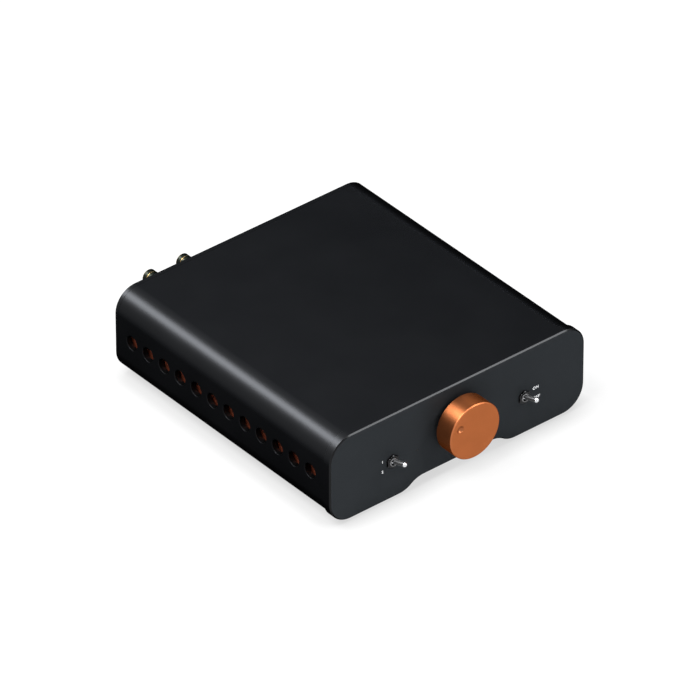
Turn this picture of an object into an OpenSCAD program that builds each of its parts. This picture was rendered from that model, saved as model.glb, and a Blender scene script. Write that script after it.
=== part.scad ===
// Small stereo power amplifier for a desk: an extruded case with a thick front
// panel, a volume knob, two toggle switches, and sockets on the back.
// Case places are measured from the middle of the front face: x to the right,
// y to the back, z up from the bottom of the foot rails.

/* [Case] */
// Width of the front panel
panel_w = 168; // [160:1:180]
// Height of the front panel
panel_h = 51.8; // [51:0.1:56]
// Thickness of the front panel
panel_t = 5.3; // [4.5:0.1:7]
// How far the front panel stands proud of the sleeve all round
panel_lip = 0.9; // [0.5:0.1:1.2]
// Chamfer round the front face
panel_chamfer = 0.8; // [0.4:0.1:1.2]
// Depth from the front face to the back of the case
case_depth = 173.2; // [170:0.2:185]
// Radius of the case's four long corners
corner_r = 14; // [12:0.5:15]
// Wall of the sleeve
wall = 3; // [2.5:0.1:3.2]
// Height of the raised middle of the underside
raise_h = 5.1; // [4:0.1:5.4]
// Where the flat of each foot rail begins, from the middle
rail_x = 38.5; // [32:0.5:42]
// Width of the bend between a foot rail and the raised middle
bend_w = 16; // [12:0.5:18]
// Thickness of the rear panel
rear_t = 2.5; // [2:0.1:3]

/* [Side vents] */
// Number of vent holes in each side
vent_count = 12; // [6:1:12]
// Diameter of a vent hole
vent_d = 8.5; // [5:0.1:10]
// Distance from the front face to the first vent
vent_first = 16.7; // [14:0.1:20]
// Distance from the back of the case to the last vent
vent_last = 13.5; // [12:0.1:18]
// Height of the row of vents
vent_z = 26.2; // [23:0.1:28]
// Chamfer round each vent
vent_chamfer = 0.35; // [0.1:0.05:0.5]

/* [Feet] */
// Diameter of a rubber foot
foot_d = 12; // [8:0.5:16]
// How far a rubber foot stands out below the foot rail
foot_out = 1.2; // [0.8:0.1:2]
// Chamfer round a rubber foot's sole
foot_chamfer = 0.5; // [0.2:0.1:0.8]
// Depth of a rubber foot's seat in the rail
foot_seat = 0.8; // [0.4:0.1:1.2]
// Distance of the feet from the middle
foot_x = 54; // [50:0.5:58]
// Distance of the feet from the front and back of the case
foot_inset = 24; // [18:1:40]

/* [Screws] */
// Diameter of the screws
screw_d = 3; // [2.5:0.1:3.2]
// Diameter of the screw heads
screw_head_d = 5.5; // [5:0.1:6]
// Height of the screw heads
screw_head_h = 1.7; // [1.2:0.1:2]
// Length of the screws that hold the two panels
panel_screw_len = 7; // [6:0.5:10]
// Outer diameter of the screw channels in the sleeve's corners
channel_d = 7.2; // [6.5:0.1:7.6]

/* [Chassis tray] */
// Thickness of the tray's sheet metal
sheet_t = 1.5; // [1:0.1:2]
// Gap between the tray's edges and the start of the case's round corners
tray_side_gap = 0.5; // [0.3:0.1:3]
// Width of the tray's upright tabs
tab_w = 13; // [11:0.5:16]
// Gap between the tray's front tabs and the sleeve above them
tab_drop = 6.1; // [4:0.1:8]
// Height of the tray's rear tabs
rear_tab_h = 6.4; // [6:0.1:7]
// Distance of the tray's rear screws from the middle
rear_tab_x = 22; // [14:1:26]

/* [Boards] */
// Thickness of both circuit boards
board_t = 1.6; // [1.2:0.1:2]
// Length of the standoffs under the main board
standoff_h = 6; // [5:0.5:7]
// Width across the flats of a standoff
standoff_w = 5.5; // [5:0.1:6]
// Gap between the main board's edges and the sleeve's side walls
board_side_gap = 1.1; // [0.9:0.1:1.6]
// Distance from the front face to the main board
board_y = 24; // [22:0.5:26]
// Distance from the main board to the rear panel
board_back = 3; // [2:0.5:5]
// Distance from the front face to the control board
control_y = 18; // [16:0.5:20]
// Width of the control board
control_w = 110; // [100:1:112]
// Gap between the control board and the sleeve above it
control_drop = 5.1; // [4:0.1:8]

/* [Heatsinks] */
// Gap between a heatsink and the sleeve's side wall
sink_gap = 1.2; // [1:0.1:2]
// Thickness of a heatsink's upright plate
sink_t = 4; // [3.5:0.1:5]
// How far a heatsink reaches up past the start of the case's round corner
sink_rise = 0.6; // [0:0.1:1]
// Height of the fins on top of a heatsink
fin_h = 5.5; // [4:0.5:8]
// Thickness of a fin
fin_t = 1.2; // [0.8:0.1:1.5]
// Number of fins on a heatsink
fin_count = 5; // [3:1:6]
// Width across the fins
fin_span = 13; // [12:0.5:15]

/* [Volume control] */
// Diameter of the volume knob
knob_d = 32.4; // [24:0.2:36]
// Length of the volume knob
knob_len = 11.4; // [10:0.2:14]
// Gap between the knob and the front panel
knob_gap = 1.8; // [1:0.1:2.4]
// Height of the knob's axis
knob_z = 28.9; // [26:0.1:30]
// Chamfer round the knob's face
knob_chamfer = 0.7; // [0.3:0.1:1.2]
// Diameter of the pointer dimple in the knob's face
dimple_d = 3.8; // [2.5:0.1:5]
// Depth of the pointer dimple
dimple_depth = 0.7; // [0.4:0.1:1]
// Distance from the knob's axis to the pointer dimple
dimple_at = 11.1; // [8:0.1:11.5]
// Angle of the pointer dimple, counted from the right
dimple_angle = 151.5; // [60:0.5:240]
// Diameter of the volume control's shaft
shaft_d = 6; // [5:0.1:6.35]
// Outer diameter of the volume control's bushing
pot_bushing_d = 9; // [8.5:0.1:9.5]
// How far that bushing stands out of the front panel
pot_bushing_out = 4; // [3:0.1:4.5]
// Diameter of the volume control's body
pot_d = 17; // [14:0.5:20]
// Width across the flats of the volume control's nut
pot_nut_w = 12; // [11.5:0.1:12.5]
// Thickness of the volume control's nut
pot_nut_t = 2; // [1.5:0.1:2.5]
// Thickness of its washer
pot_washer_t = 0.5; // [0.4:0.1:0.8]

/* [Toggle switches] */
// Distance of each switch from the middle
switch_x = 43.5; // [38:0.5:48]
// Height of the switches
switch_z = 23.1; // [21.5:0.1:25]
// How far a lever leans up or down from level
lever_tilt = 18; // [12:0.5:19]
// Length of a lever from its pivot to the middle of its round tip
lever_len = 10.6; // [8:0.1:14]
// Diameter of a lever's round tip
lever_tip_d = 2.7; // [2.2:0.1:3.2]
// Diameter of a lever's bar, between its neck and its tip
lever_bar_d = 2.5; // [2:0.1:2.8]
// Diameter of a lever's neck
lever_neck_d = 1.5; // [1.2:0.1:1.6]
// Diameter of a lever's pivot ball
lever_ball_d = 3.4; // [3:0.1:3.4]
// Diameter of a lever's hinge pin
lever_pin_d = 1; // [0.8:0.1:1.2]
// Outer diameter of a switch's bushing
bushing_d = 4.9; // [4.8:0.1:5.6]
// Bore of a switch's bushing
bushing_bore_d = 3.6; // [3.6:0.1:3.8]
// How far a bushing stands out of the front panel
bushing_out = 1.7; // [1.4:0.1:2]
// Width across the flats of a switch's nut
switch_nut_w = 7; // [6.5:0.1:8]
// Thickness of a switch's nut
switch_nut_t = 1.1; // [0.8:0.1:1.3]
// Width of a switch's body
switch_w = 7; // [6.5:0.1:8]
// Height of a switch's body
switch_h = 12.7; // [10:0.1:14]

/* [Status light] */
// Distance of the status light from the middle
light_x = 26.9; // [24:0.1:30]
// Height of the status light
light_z = 22.4; // [21:0.1:25]
// Diameter of the light pipe's tip
light_d = 1.1; // [0.8:0.1:1.6]
// Diameter of the lamp behind it
lamp_d = 3; // [2:0.5:3.5]

/* [Phono sockets] */
// Outer diameter of a phono socket's shell
phono_d = 8.3; // [8:0.1:8.6]
// How far a phono socket stands out of the rear panel
phono_out = 11.5; // [9:0.1:12]
// Distance from the top of the front panel down to the phono sockets
phono_drop = 10.8; // [10.6:0.1:13]
// Distance from the power inlet to the nearer phono socket
phono_near = 22; // [20:0.5:23]
// Distance from the line socket to the farther phono socket
phono_far = 16; // [15.5:0.5:18]
// Bore of a phono socket's centre contact
phono_bore_d = 3.2; // [3:0.1:3.3]
// Wall of a phono socket's shell
phono_wall = 0.8; // [0.6:0.1:1]

/* [Line and power sockets] */
// Distance from the side of the case to the line socket
line_inset = 16; // [15.5:0.5:18]
// Bore of the line socket
line_bore_d = 3.6; // [3.5:0.1:3.8]
// Diameter of the line socket's threaded nose
line_nose_d = 6; // [5.8:0.1:6.4]
// Height of the line socket above the main board
line_rise = 4.3; // [4:0.1:5]
// Distance from the middle to the power inlet
inlet_x = 8; // [6.5:0.5:10]
// Bore of the power inlet
inlet_bore_d = 5.7; // [5.5:0.1:5.9]
// Diameter of the power inlet's body
inlet_d = 11; // [10:0.5:11.5]
// Diameter of the power inlet's centre pin
inlet_pin_d = 2.4; // [2:0.1:2.5]

/* [Speaker terminals] */
// Height of the speaker terminals above the main board
post_rise = 5.6; // [5.6:0.1:7.5]
// Distance from the middle to the first speaker terminal
post_x = 10; // [9:0.5:11]
// Distance from the side of the case to the last speaker terminal
post_inset = 17; // [16.5:0.5:20]
// How far the terminals' studs stand out of the rear panel
post_out = 18; // [16:0.5:20]
// Diameter of a stud
stud_d = 7; // [6.5:0.1:7]
// Bore of a stud for a plug
stud_bore_d = 4.1; // [4:0.1:4.2]
// Diameter of a clamping cap
cap_d = 11.5; // [11:0.1:13]
// Number of grip flutes round a cap
flute_count = 12; // [8:1:16]

/* [Hidden] */
$fn = 64;

// Clearances: between turned pieces, and between a piece and its hole
run_fit = 0.05;
hole_fit = 0.1;
// How far a cut runs past the face it opens
over = 1;

anodised_black = "#2b2b2e";
anodised_orange = "#b8663a";
steel = "silver";
gold = "#d4af55";
black_plastic = "#1c1c1c";
board_green = "#1f5a3a";

// The case stands on its feet, with its longest reach centred front to back
knob_out = knob_gap + knob_len;
front_y = (knob_out - case_depth - post_out) / 2;

// Sleeve
sleeve_y = panel_t;
sleeve_len = case_depth - rear_t - panel_t;
rear_y = case_depth - rear_t;
bend_r = (bend_w * bend_w + raise_h * raise_h) / (4 * raise_h);
bend_a = 2 * atan(raise_h / bend_w);
arc_steps = 10;
inner_inset = panel_lip + wall;
inner_half_w = panel_w / 2 - inner_inset;
inner_top = panel_h - inner_inset;
inner_floor = raise_h + inner_inset;
vent_pitch = (case_depth - vent_first - vent_last) / (vent_count - 1);

// Screw channels touch the inside of each corner, and sink a little into it
channel_r = channel_d / 2;
channel_sink = 1;
channel_reach = (corner_r - inner_inset - channel_r + channel_sink) * sqrt(0.5);
channel_x = panel_w / 2 - corner_r + channel_reach;
channel_low_z = corner_r - channel_reach;
channel_high_z = panel_h - corner_r + channel_reach;
screw_r = screw_d / 2;
thread_r = screw_r + run_fit;
screw_hole_r = screw_r + hole_fit;
screw_head_r = screw_head_d / 2;

// Tray and boards, stacked up from the sleeve's raised floor
tray_gap = 0.3;
tray_z = inner_floor + tray_gap;
tray_top = tray_z + sheet_t;
tray_half_w = inner_half_w - (corner_r - inner_inset) - tray_side_gap;
board_z = tray_top + standoff_h;
board_top = board_z + board_t;
board_half_w = inner_half_w - board_side_gap;
board_len = rear_y - board_back - board_y;
tab_x = tray_half_w - tab_w / 2;
tab_h = inner_top - tab_drop - tray_top;
tab_screw_in = 5.5;
front_thread_len = 4;
front_screw_grip = 3.5;
front_screw_zs = [tray_top + tab_screw_in, tray_top + tab_h - tab_screw_in];
standoff_in = 9.5;
standoff_x = tray_half_w - standoff_in;
standoff_front = 12;
standoff_back = 24;
standoff_ys = [board_y + standoff_front, board_y + board_len - standoff_back];
standoff_foot_r = 2.1;
rear_tab_w = 12;
rear_tab_z = tray_top + rear_tab_h - 3.4;
control_z = tray_top + 2;
control_h = inner_top - control_drop - control_z;

// Heatsinks
sink_out = inner_half_w - sink_gap;
sink_in = sink_out - sink_t;
sink_y = panel_t + 7;
sink_len = rear_y - 1.5 - sink_y;
sink_h = panel_h - corner_r + sink_rise - board_top;
sink_screw_in = 12;
sink_thread_len = 6;
sink_screw_grip = 5;
sink_screw_ys = [board_y + sink_screw_in, board_y + board_len - sink_screw_in];
ledge_t = 2;
ledge_gap = 1;
transistor_t = 4.4;
transistor_w = 10;
transistor_rise = 2.2;
transistor_gap = 0.8;
transistor_h = sink_h - fin_h - ledge_t - transistor_gap - transistor_rise;
transistor_count = 4;
transistor_in = 20;
transistor_first = board_y + transistor_in;
transistor_pitch = (board_len - 2 * transistor_in) / (transistor_count - 1);

// Parts on the main board, in rows from front to back
chip_w = 12;
chip_len = 10;
chip_t = 1.6;
chip_x = 22;
chip_y = board_y + board_len * 0.12;
capacitor_d = 18;
capacitor_gap = 2.5;
capacitor_h = inner_top - capacitor_gap - board_top;
capacitor_pitch = 22;
capacitor_y = board_y + board_len * 0.25;
film_w = 13;
film_t = 6;
film_h = 11;
film_y = board_y + board_len * 0.48;
coil_bore_r = 5;
coil_t = 5.2;
coil_h = 10;
coil_pitch = 24;
coil_y = board_y + board_len * 0.6;
relay_w = 20;
relay_len = 12;
relay_h = 15;
relay_pitch = 27;
relay_side = 27;
relay_gap = 0.95;
relay_y = standoff_ys[1] - screw_head_r - relay_gap - relay_len / 2;
header_w = 26;
header_h = 2.6;
header_reach = 5;

// Volume control
knob_r = knob_d / 2;
shaft_r = shaft_d / 2;
pot_bushing_r = pot_bushing_d / 2;
knob_recess_r = pot_nut_w / 2 / cos(30) + 0.8;
knob_recess_d = pot_bushing_out - knob_gap + 0.6;
knob_skin = 2;
knob_grip_y = -knob_out + knob_skin;
pot_y = panel_t;
shaft_back_y = control_y - 3;
set_screw_y = (knob_grip_y - knob_gap - knob_recess_d) / 2;

// Toggle switches
pivot_y = 0.5;
bushing_r = bushing_d / 2;
bushing_bore_r = bushing_bore_d / 2;
switch_y = panel_t + 1.7;
lever_pin_half = (bushing_bore_r + bushing_r) / 2;
lever_tail = 2.8;
lever_neck_end = bushing_out + pivot_y + 0.3;
lever_bar_start = lever_neck_end + 0.9;

// The lamp stands against the wide back end of the light pipe
lamp_y = panel_t + 2;
lamp_len = 5;
lamp_rim_t = 1;

// Rear sockets
post_z = board_top + post_rise;
line_x = panel_w / 2 - line_inset;
phono_xs = [phono_far - line_x, -inlet_x - phono_near];
phono_z = panel_h - phono_drop;
phono_r = phono_d / 2;
phono_boss_r = phono_r + 1.2;
phono_root_len = 10;
phono_root_y = rear_y - phono_root_len;
phono_root_r = phono_r - 0.35;
phono_seat_y = case_depth + 0.8;
phono_end_y = case_depth + phono_out;
phono_insulator_y = phono_end_y - 0.6;
phono_contact_y = phono_end_y - 1.2;
phono_bore_len = 10;
phono_bore_r = phono_bore_d / 2;
phono_insulator_r = phono_r - phono_wall;
phono_contact_r = phono_bore_r + 0.6;
block_side = 10;
block_deep = 14;
block_wall = 3;
line_z = board_top + line_rise;
line_nose_r = line_nose_d / 2;
line_nose_out = 2.2;
line_nut_t = 1.6;
line_nut_w = 8;
line_body_w = 10;
line_body_deep = 12;
inlet_r = inlet_d / 2;
inlet_z = post_z;
inlet_flange_r = inlet_r + 1.2;
inlet_flange_t = 2;
inlet_deep = 13;
inlet_back_t = 3;
inlet_tag_x = 3;
inlet_tag_w = 1.2;
inlet_tag_t = 2;

// Speaker terminals, from the inside out
post_count = 4;
post_pitch = (panel_w / 2 - post_inset - post_x) / (post_count - 1);
post_xs = [for (k = [0:post_count - 1]) post_x + k * post_pitch];
stud_r = stud_d / 2;
post_ring_r = cap_d / 2 + 0.6;
outer_ring_t = 3;
inner_ring_t = 3.9;
tag_t = 0.8;
post_nut_t = 2.5;
post_nut_w = 10;
inner_ring_r = post_nut_w / 2 + 0.5;
collar_t = 1.2;
washer_t = 1;
post_gap = 0.1;
collar_y = case_depth + outer_ring_t;
washer_y = collar_y + collar_t + post_gap;
cap_y = washer_y + washer_t + post_gap;
stud_end_y = case_depth + post_out;
stud_bore_len = post_out - 1;
cap_len = stud_end_y - 1 - cap_y;
tag_y = rear_y - inner_ring_t - tag_t;
stud_root_y = tag_y - post_nut_t - 2.5;

// The heatsinks' ledges end in front of whichever socket reaches in the furthest
ledge_end_y = min(stud_root_y, rear_y - line_body_deep, rear_y - block_deep) - ledge_gap;

// Points along an arc about a centre, from one angle to another. A start of 1
// leaves out the first point, where the arc before it ends at the same place.
function arc(cx, cz, r, from, to, start = 0) =
    [for (k = [start:arc_steps]) let (a = from + (to - from) * k / arc_steps)
        [cx + r * cos(a), cz + r * sin(a)]];

// The case's cross-section, drawn in by the same distance all round
function case_outline(inset) =
    let (cx = panel_w / 2 - corner_r, r = corner_r - inset,
         top = panel_h - corner_r, inner_x = rail_x - bend_w)
    concat(
        arc(cx, top, r, 0, 90),
        arc(-cx, top, r, 90, 180),
        arc(-cx, corner_r, r, 180, 270),
        arc(-rail_x, bend_r, bend_r - inset, 270, 270 + bend_a),
        arc(-inner_x, raise_h - bend_r, bend_r + inset, 90 + bend_a, 90, 1),
        arc(inner_x, raise_h - bend_r, bend_r + inset, 90, 90 - bend_a),
        arc(rail_x, bend_r, bend_r - inset, 270 - bend_a, 270, 1),
        arc(cx, corner_r, r, 270, 360));

// Moves a piece from case places to the stored frame
module in_case() {
    translate([0, front_y, foot_out]) children();
}

module along_y(y0, length) {
    translate([0, y0 + length, 0]) rotate([90, 0, 0]) linear_extrude(length) children();
}

module rod_y(r, y0, length, x = 0, z = 0) {
    translate([x, y0, z]) rotate([-90, 0, 0]) cylinder(r = r, h = length);
}

module ring_y(outer, inner, y0, length, x = 0, z = 0) {
    difference() {
        rod_y(outer, y0, length, x, z);
        rod_y(inner, y0 - over, length + 2 * over, x, z);
    }
}

// A hexagonal nut with its corners eased, and a round bore
module nut_y(across, bore_r, y0, length, x, z) {
    difference() {
        intersection() {
            translate([x, y0, z]) rotate([-90, 0, 0]) rotate([0, 0, 30])
                cylinder(r = across / 2 / cos(30), h = length, $fn = 6);
            rod_y(across / 2 * 1.08, y0, length, x, z);
        }
        rod_y(bore_r, y0 - over, length + 2 * over, x, z);
    }
}

module block(x0, x1, y0, y1, z0, z1) {
    translate([x0, y0, z0]) cube([x1 - x0, y1 - y0, z1 - z0]);
}

// A screw whose head bears on the face at y, and whose thread runs forward from there
module screw_y(y, length, x, z) {
    rod_y(screw_r, y - length, length, x, z);
    rod_y(screw_head_r, y, screw_head_h, x, z);
}

// Case

// What the edge chamfer takes off: a ring of three-cornered section that follows
// the outline. Its corners are given as [how far in, how far back].
module chamfer_cut() {
    corners = [[panel_chamfer + over, -over], [-over, -over], [-over, panel_chamfer + over]];
    ring = len(case_outline(0));
    points = [for (c = corners, p = case_outline(c[0])) [p[0], c[1], p[1]]];
    faces = [for (c = [0:2], k = [0:ring - 1]) let (j = (k + 1) % ring, next = (c + 1) % 3)
        [c * ring + k, c * ring + j, next * ring + j, next * ring + k]];
    polyhedron(points, faces);
}

module front_panel() in_case() color(anodised_black) {
    difference() {
        along_y(0, panel_t) polygon(case_outline(0));
        chamfer_cut();
        rod_y(pot_bushing_r + hole_fit, -over, panel_t + 2 * over, 0, knob_z);
        for (side = [-1, 1])
            rod_y(bushing_r + hole_fit, -over, panel_t + 2 * over, side * switch_x, switch_z);
        rod_y(light_d / 2 + run_fit, -over, panel_t + 2 * over, -light_x, light_z);
        // Blind threads for the tray's screws
        for (side = [-1, 1], z = front_screw_zs)
            rod_y(thread_r, panel_t - front_thread_len, front_thread_len + over, side * tab_x, z);
    }
}

module case_sleeve() in_case() color(anodised_black) {
    difference() {
        along_y(sleeve_y, sleeve_len) difference() {
            polygon(case_outline(panel_lip));
            difference() {
                polygon(case_outline(inner_inset));
                for (side = [-1, 1], z = [channel_low_z, channel_high_z])
                    translate([side * channel_x, z]) circle(channel_r);
            }
            for (side = [-1, 1], z = [channel_low_z, channel_high_z])
                translate([side * channel_x, z]) circle(thread_r);
        }
        for (k = [0:vent_count - 1]) translate([0, vent_first + k * vent_pitch, vent_z])
            for (side = [-1, 1]) vent_cut(side);
        for (side = [-1, 1], y = [foot_inset, case_depth - foot_inset])
            translate([side * foot_x, y, panel_lip - over])
                cylinder(d = foot_d + 2 * hole_fit, h = foot_seat + over);
    }
}

// A round hole through one side wall, with a chamfered mouth
module vent_cut(side) {
    mouth_x = panel_w / 2 - panel_lip;
    rotate([0, side * 90, 0]) {
        translate([0, 0, inner_half_w - over]) cylinder(d = vent_d, h = wall + 2 * over);
        translate([0, 0, mouth_x - vent_chamfer])
            cylinder(d1 = vent_d, d2 = vent_d + 4 * vent_chamfer, h = 2 * vent_chamfer);
    }
}

module rear_panel() in_case() color(anodised_black) {
    through = rear_t + 2 * over;
    difference() {
        along_y(rear_y, rear_t) polygon(case_outline(panel_lip));
        for (side = [-1, 1], z = [channel_low_z, channel_high_z])
            rod_y(screw_hole_r, rear_y - over, through, side * channel_x, z);
        for (side = [-1, 1]) rod_y(screw_hole_r, rear_y - over, through, side * rear_tab_x, rear_tab_z);
        for (x = phono_xs) rod_y(phono_boss_r + hole_fit, rear_y - over, through, x, phono_z);
        rod_y(line_nose_r + hole_fit, rear_y - over, through, -line_x, line_z);
        rod_y(inlet_r + hole_fit, rear_y - over, through, -inlet_x, inlet_z);
        for (x = post_xs) rod_y(stud_r + hole_fit, rear_y - over, through, x, post_z);
    }
}

module chassis_tray() in_case() color("gainsboro") {
    difference() {
        union() {
            block(-tray_half_w, tray_half_w, panel_t, rear_y, tray_z, tray_top);
            for (side = [-1, 1]) {
                block(side * tab_x - tab_w / 2, side * tab_x + tab_w / 2,
                      panel_t, panel_t + sheet_t, tray_z, tray_top + tab_h);
                block(side * rear_tab_x - rear_tab_w / 2, side * rear_tab_x + rear_tab_w / 2,
                      rear_y - sheet_t, rear_y, tray_z, tray_top + rear_tab_h);
            }
        }
        for (side = [-1, 1], z = front_screw_zs)
            rod_y(screw_hole_r, panel_t - over, sheet_t + 2 * over, side * tab_x, z);
        for (side = [-1, 1])
            rod_y(thread_r, rear_y - sheet_t - over, sheet_t + 2 * over, side * rear_tab_x, rear_tab_z);
        for (side = [-1, 1], y = standoff_ys) translate([side * standoff_x, y, tray_z - over])
            cylinder(r = standoff_foot_r + run_fit, h = sheet_t + 2 * over);
    }
}

module rear_panel_screws() in_case() color(steel) {
    for (side = [-1, 1]) {
        for (z = [channel_low_z, channel_high_z])
            screw_y(case_depth, panel_screw_len, side * channel_x, z);
        screw_y(case_depth, panel_screw_len, side * rear_tab_x, rear_tab_z);
    }
}

module front_panel_screws() in_case() color(steel) {
    for (side = [-1, 1], z = front_screw_zs)
        screw_y(panel_t + sheet_t, sheet_t + front_screw_grip, side * tab_x, z);
}

module rubber_feet() in_case() color("#202020") {
    foot_r = foot_d / 2;
    foot_h = foot_out + panel_lip + foot_seat;
    for (side = [-1, 1], y = [foot_inset, case_depth - foot_inset])
        translate([side * foot_x, y, -foot_out]) rotate_extrude() polygon([
            [0, 0], [foot_r - foot_chamfer, 0], [foot_r, foot_chamfer], [foot_r, foot_h], [0, foot_h]]);
}

// Heatsinks and boards

// A part with square sides that stands on the main board, centred on x and y
module part_block(x, y, w, length, h) {
    block(x - w / 2, x + w / 2, y - length / 2, y + length / 2, board_top, board_top + h);
}

// Upright plate with a finned ledge that leans over the transistors, and stops
// short of the sockets behind it
module heatsink(side) {
    ledge_z = board_top + sink_h - fin_h;
    fin_gap = (fin_span - fin_t) / (fin_count - 1);
    difference() {
        mirror([side < 0 ? 1 : 0, 0, 0]) {
            block(sink_in, sink_out, sink_y, sink_y + sink_len, board_top, board_top + sink_h);
            block(sink_out - fin_span, sink_out, sink_y, ledge_end_y, ledge_z - ledge_t, ledge_z);
            for (k = [0:fin_count - 1])
                block(sink_out - fin_t - k * fin_gap, sink_out - k * fin_gap,
                      sink_y, ledge_end_y, ledge_z - 1, board_top + sink_h);
        }
        for (y = sink_screw_ys)
            translate([side * (sink_in + sink_out) / 2, y, board_top - over])
                cylinder(r = thread_r, h = sink_thread_len + over);
    }
}

module left_heatsink() in_case() color(anodised_orange) heatsink(-1);

module right_heatsink() in_case() color(anodised_orange) heatsink(1);

// Power transistors standing on three leads against the heatsink
module transistors(side) {
    lead_w = 0.9;
    lead_x = sink_in - transistor_t / 2;
    for (k = [0:transistor_count - 1]) let (y = transistor_first + k * transistor_pitch)
        mirror([side < 0 ? 1 : 0, 0, 0]) {
            block(sink_in - transistor_t, sink_in, y - transistor_w / 2, y + transistor_w / 2,
                  board_top + transistor_rise, board_top + transistor_rise + transistor_h);
            for (lead = [-2.5, 0, 2.5])
                block(lead_x - lead_w / 2, lead_x + lead_w / 2, y + lead - lead_w / 2, y + lead + lead_w / 2,
                      board_top, board_top + transistor_rise + 0.5);
        }
}

module left_power_transistors() in_case() color(black_plastic) transistors(-1);

module right_power_transistors() in_case() color(black_plastic) transistors(1);

module heatsink_screws() in_case() color(steel) {
    for (side = [-1, 1], y = sink_screw_ys)
        translate([side * (sink_in + sink_out) / 2, y, board_z]) {
            cylinder(r = screw_r, h = board_t + sink_screw_grip);
            translate([0, 0, -screw_head_h]) cylinder(r = screw_head_r, h = screw_head_h);
        }
}

module main_board() in_case() color(board_green) {
    difference() {
        block(-board_half_w, board_half_w, board_y, board_y + board_len, board_z, board_top);
        for (side = [-1, 1]) {
            for (y = standoff_ys) translate([side * standoff_x, y, board_z - over])
                cylinder(r = screw_hole_r, h = board_t + 2 * over);
            for (y = sink_screw_ys) translate([side * (sink_in + sink_out) / 2, y, board_z - over])
                cylinder(r = screw_hole_r, h = board_t + 2 * over);
        }
    }
}

// Six-sided standoffs, each with a round foot pressed into the tray
module board_standoffs() in_case() color(gold) {
    for (side = [-1, 1], y = standoff_ys) translate([side * standoff_x, y, tray_top])
        difference() {
            union() {
                cylinder(r = standoff_w / 2 / cos(30), h = standoff_h, $fn = 6);
                translate([0, 0, -sheet_t]) cylinder(r = standoff_foot_r, h = sheet_t + over);
            }
            translate([0, 0, over]) cylinder(r = thread_r, h = standoff_h);
        }
}

module board_screws() in_case() color(steel) {
    grip = 2.6;
    for (side = [-1, 1], y = standoff_ys) translate([side * standoff_x, y, 0]) {
        translate([0, 0, board_top - board_t - grip]) cylinder(r = screw_r, h = board_t + grip);
        translate([0, 0, board_top]) cylinder(r = screw_head_r, h = screw_head_h);
    }
}

// Cans with a rolled groove near the foot and a dished top
module supply_capacitors() in_case() color("#33406b") {
    groove_z = 2.5;
    groove_h = 1.2;
    for (k = [-1.5:1.5]) translate([k * capacitor_pitch, capacitor_y, board_top]) difference() {
        cylinder(d = capacitor_d, h = capacitor_h);
        translate([0, 0, capacitor_h - 0.4]) cylinder(d = capacitor_d - 3, h = over);
        translate([0, 0, groove_z]) difference() {
            cylinder(d = capacitor_d + 2, h = groove_h);
            translate([0, 0, -0.1]) cylinder(d = capacitor_d - 1, h = groove_h + 0.2);
        }
    }
}

module output_inductors() in_case() color("#8a5a3a") {
    for (k = [-1.5:1.5]) translate([k * coil_pitch, coil_y, board_top])
        rotate_extrude() translate([coil_bore_r, 0]) square([coil_t, coil_h]);
}

module film_capacitors() in_case() color("#8c2f2a") {
    for (k = [-1.5:1.5]) part_block(k * coil_pitch, film_y, film_w, film_t, film_h);
}

module speaker_relays() in_case() color("#20304a") {
    for (k = [0, 1]) let (x = board_half_w - relay_side - k * relay_pitch)
        part_block(x, relay_y, relay_w, relay_len, relay_h);
}

module modulator_chips() in_case() color(black_plastic) {
    for (side = [-1, 1]) part_block(side * chip_x, chip_y, chip_w, chip_len, chip_t);
}

module control_board() in_case() color(board_green) {
    block(-control_w / 2, control_w / 2, control_y, control_y + board_t, control_z, control_z + control_h);
}

// Right-angled connector that joins the two boards
module link_header() in_case() color(black_plastic) {
    block(-header_w / 2, header_w / 2, control_y + board_t, board_y + header_reach,
          board_top, board_top + header_h);
}

// Volume control

module volume_knob() in_case() color(anodised_orange) {
    dimple_r = (dimple_d * dimple_d / 4 + dimple_depth * dimple_depth) / (2 * dimple_depth);
    grip = knob_len - knob_recess_d;
    difference() {
        translate([0, -knob_out, knob_z]) rotate([-90, 0, 0]) rotate_extrude() polygon([
            [0, 0], [knob_r - knob_chamfer, 0], [knob_r, knob_chamfer],
            [knob_r, knob_len - 0.5], [knob_r - 0.5, knob_len],
            [knob_recess_r, knob_len], [knob_recess_r, grip],
            [shaft_r + run_fit, grip], [shaft_r + run_fit, knob_skin], [0, knob_skin]]);
        translate([dimple_at * cos(dimple_angle), -knob_out - dimple_r + dimple_depth,
                   knob_z + dimple_at * sin(dimple_angle)]) sphere(dimple_r);
        translate([0, set_screw_y, knob_z - knob_r - over])
            cylinder(r = thread_r, h = knob_r + over);
    }
}

module knob_set_screw() in_case() color(steel) {
    top = knob_z - shaft_r - run_fit;
    translate([0, set_screw_y, top - 8]) cylinder(r = screw_r, h = 8);
}

module volume_control_body() in_case() color("darkgray") {
    difference() {
        union() {
            rod_y(pot_d / 2, pot_y, control_y - pot_y, 0, knob_z);
            rod_y(pot_bushing_r, -pot_bushing_out, pot_bushing_out + pot_y + over, 0, knob_z);
        }
        rod_y(shaft_r + run_fit, -pot_bushing_out - over,
              pot_bushing_out + over + shaft_back_y + 0.2, 0, knob_z);
    }
}

module volume_shaft() in_case() color(steel) {
    front = knob_grip_y + 0.3;
    rod_y(shaft_r, front, shaft_back_y - front, 0, knob_z);
}

module volume_washer() in_case() color(steel) {
    ring_y(pot_nut_w / 2 * 1.08, pot_bushing_r + run_fit, -pot_washer_t, pot_washer_t, 0, knob_z);
}

module volume_nut() in_case() color(steel) {
    nut_y(pot_nut_w, pot_bushing_r + run_fit, -pot_washer_t - pot_nut_t, pot_nut_t, 0, knob_z);
}

// Toggle switches

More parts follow.
